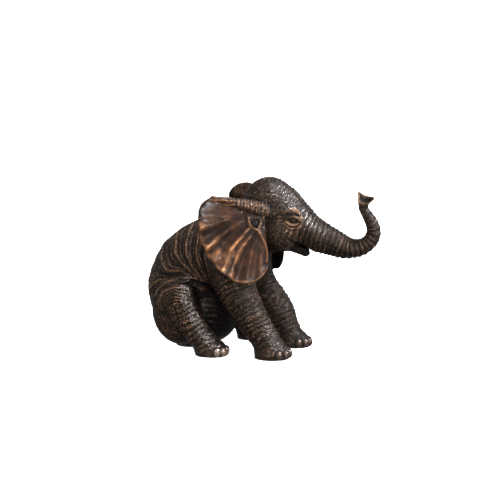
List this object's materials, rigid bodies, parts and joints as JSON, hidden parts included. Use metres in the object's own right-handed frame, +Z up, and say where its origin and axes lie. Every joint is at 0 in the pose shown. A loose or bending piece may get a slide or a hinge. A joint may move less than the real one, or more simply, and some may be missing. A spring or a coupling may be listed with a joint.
{
  "type": "elephant figurine",
  "caption": "Sitting elephant calf figurine with its trunk raised in a curl, a one-piece cold-cast bronze that rests on its rump and feet.",
  "frame": {"origin": "centre of the figure's plan box on the plane of its soles and seat", "axes": "+X ahead, the way the calf faces and its longest extent; +Y to the calf's left; +Z up"},
  "size_m": [0.1754, 0.1055, 0.1263],
  "materials": {
    "bronze": "dark brown bronze patina over sculpted skin folds, crests and ear folds rubbed to copper and gold, satin gloss"
  },
  "bodies": {
    "root": {"elephant": "bronze"}
  },
  "joints": []
}
